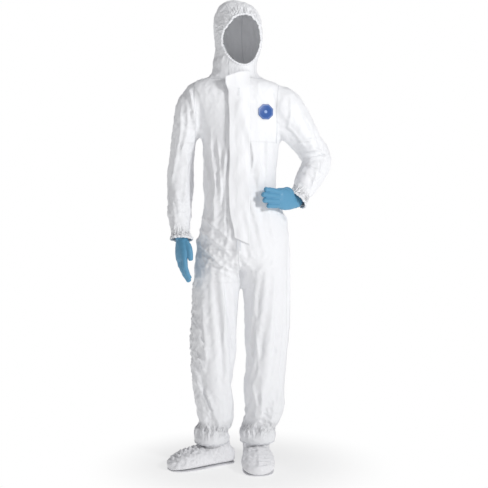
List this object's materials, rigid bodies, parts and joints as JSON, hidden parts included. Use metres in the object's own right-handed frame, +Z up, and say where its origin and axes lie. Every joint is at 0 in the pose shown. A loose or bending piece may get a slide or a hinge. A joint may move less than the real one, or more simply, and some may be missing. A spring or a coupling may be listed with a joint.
{
  "type": "chemical protective suit",
  "caption": "Hooded one-piece protective coverall with zip and storm flap, elastic hood, cuffs and ankles, gloves and overshoes, in a standing pose.",
  "frame": {"origin": "midway between the two shoulder joints, 1320 mm above the soles, where the wearer's shoulders carry the suit", "axes": "+Z up the standing suit, the suit faces -Y, and the wearer's left arm is towards +X"},
  "size_m": [0.6349, 0.3554, 1.719],
  "materials": {
    "nonwoven_fabric": "crisp white film-laminated nonwoven",
    "elastic_tape": "white covered elastic",
    "blue_nitrile": "thin light blue nitrile rubber",
    "zip_plastic": "white nylon",
    "sole_sheet": "white embossed polyethylene sheet",
    "badge_cloth": "printed blue label cloth"
  },
  "bodies": {
    "torso": {"front_panel_right": "nonwoven_fabric", "front_panel_left": "nonwoven_fabric", "back_panel_right": "nonwoven_fabric", "back_panel_left": "nonwoven_fabric", "waist_elastic": "elastic_tape", "crotch_gusset": "nonwoven_fabric", "chest_badge": "badge_cloth", "zip_tape_right": "zip_plastic", "zip_tape_left": "zip_plastic", "zip_teeth_right": "zip_plastic", "zip_teeth_left": "zip_plastic", "zip_bottom_stop": "zip_plastic", "zip_top_stop": "zip_plastic"},
    "hood": {"hood_centre_panel": "nonwoven_fabric", "hood_side_right": "nonwoven_fabric", "hood_side_left": "nonwoven_fabric", "hood_face_elastic": "elastic_tape"},
    "flap": {"storm_flap": "nonwoven_fabric", "flap_adhesive_strip": "elastic_tape"},
    "slider": {"zip_slider": "zip_plastic", "zip_pull_pin": "zip_plastic"},
    "pull": {"zip_pull_tab": "zip_plastic"},
    "right_upper_arm": {"right_upper_sleeve": "nonwoven_fabric"},
    "right_forearm": {"right_lower_sleeve": "nonwoven_fabric", "right_cuff_elastic": "elastic_tape"},
    "right_hand": {"right_glove": "blue_nitrile", "right_glove_bead": "blue_nitrile"},
    "right_thigh": {"right_upper_leg_front": "nonwoven_fabric", "right_upper_leg_back": "nonwoven_fabric"},
    "right_shin": {"right_lower_leg_front": "nonwoven_fabric", "right_lower_leg_back": "nonwoven_fabric", "right_ankle_elastic": "elastic_tape"},
    "right_foot": {"right_overshoe": "nonwoven_fabric", "right_overshoe_sole": "sole_sheet", "right_overshoe_elastic": "elastic_tape", "right_overshoe_instep_seam": "nonwoven_fabric"},
    "left_upper_arm": {"left_upper_sleeve": "nonwoven_fabric"},
    "left_forearm": {"left_lower_sleeve": "nonwoven_fabric", "left_cuff_elastic": "elastic_tape"},
    "left_hand": {"left_glove": "blue_nitrile", "left_glove_bead": "blue_nitrile"},
    "left_thigh": {"left_upper_leg_front": "nonwoven_fabric", "left_upper_leg_back": "nonwoven_fabric"},
    "left_shin": {"left_lower_leg_front": "nonwoven_fabric", "left_lower_leg_back": "nonwoven_fabric", "left_ankle_elastic": "elastic_tape"},
    "left_foot": {"left_overshoe": "nonwoven_fabric", "left_overshoe_sole": "sole_sheet", "left_overshoe_elastic": "elastic_tape", "left_overshoe_instep_seam": "nonwoven_fabric"}
  },
  "joints": [
    {"name": "hood_tip", "type": "hinge", "parent": "torso", "child": "hood", "pos_m": [-0.026, 0.014, 0.108], "axis": [1, 0, 0], "range_deg": [-20, 8]},
    {"name": "flap_open", "type": "hinge", "parent": "torso", "child": "flap", "pos_m": [0.034, -0.11413, -0.21214], "axis": [0, 0.0377, 0.9993], "range_deg": [0, 90]},
    {"name": "zip_open", "type": "slide", "parent": "torso", "child": "slider", "axis": [0, -0.0377, -0.9993], "range_m": [0, 0.54]},
    {"name": "pull_lift", "type": "hinge", "parent": "slider", "child": "pull", "pos_m": [-0.008, -0.10774, 0.06622], "axis": [-1, 0, 0], "range_deg": [0, 9]},
    {"name": "right_shoulder", "type": "hinge", "parent": "torso", "child": "right_upper_arm", "pos_m": [-0.178, 0.006, 0], "axis": [-1, 0, 0], "range_deg": [0, 65]},
    {"name": "right_elbow", "type": "hinge", "parent": "right_upper_arm", "child": "right_forearm", "pos_m": [-0.218, 0.04, -0.26], "axis": [-1, 0, 0], "range_deg": [0, 36]},
    {"name": "right_glove_off", "type": "slide", "parent": "right_forearm", "child": "right_hand", "axis": [0.0046, -0.3148, -0.9491], "range_m": [0, 0.12]},
    {"name": "left_shoulder", "type": "hinge", "parent": "torso", "child": "left_upper_arm", "pos_m": [0.145, 0.006, 0], "axis": [-1, 0, 0], "range_deg": [0, 35]},
    {"name": "left_elbow", "type": "hinge", "parent": "left_upper_arm", "child": "left_forearm", "pos_m": [0.284, 0.125, -0.174], "axis": [-0.771, 0.6036, -0.2032], "range_deg": [-60, 0]},
    {"name": "left_glove_off", "type": "slide", "parent": "left_forearm", "child": "left_hand", "axis": [-0.3426, -0.662, -0.6666], "range_m": [0, 0.12]},
    {"name": "right_hip", "type": "hinge", "parent": "torso", "child": "right_thigh", "pos_m": [-0.086, 0.008, -0.518], "axis": [-1, 0, 0], "range_deg": [-10, 35]},
    {"name": "right_knee", "type": "hinge", "parent": "right_thigh", "child": "right_shin", "pos_m": [-0.098, -0.005, -0.9], "axis": [1, 0, 0], "range_deg": [0, 50]},
    {"name": "right_overshoe_off", "type": "slide", "parent": "right_shin", "child": "right_foot", "axis": [0, 0, -1], "range_m": [0, 0.15]},
    {"name": "left_hip", "type": "hinge", "parent": "torso", "child": "left_thigh", "pos_m": [0.1, 0.008, -0.518], "axis": [-1, 0, 0], "range_deg": [-10, 35]},
    {"name": "left_knee", "type": "hinge", "parent": "left_thigh", "child": "left_shin", "pos_m": [0.09, -0.008, -0.9], "axis": [1, 0, 0], "range_deg": [0, 50]},
    {"name": "left_overshoe_off", "type": "slide", "parent": "left_shin", "child": "left_foot", "axis": [0, 0, -1], "range_m": [0, 0.15]}
  ]
}
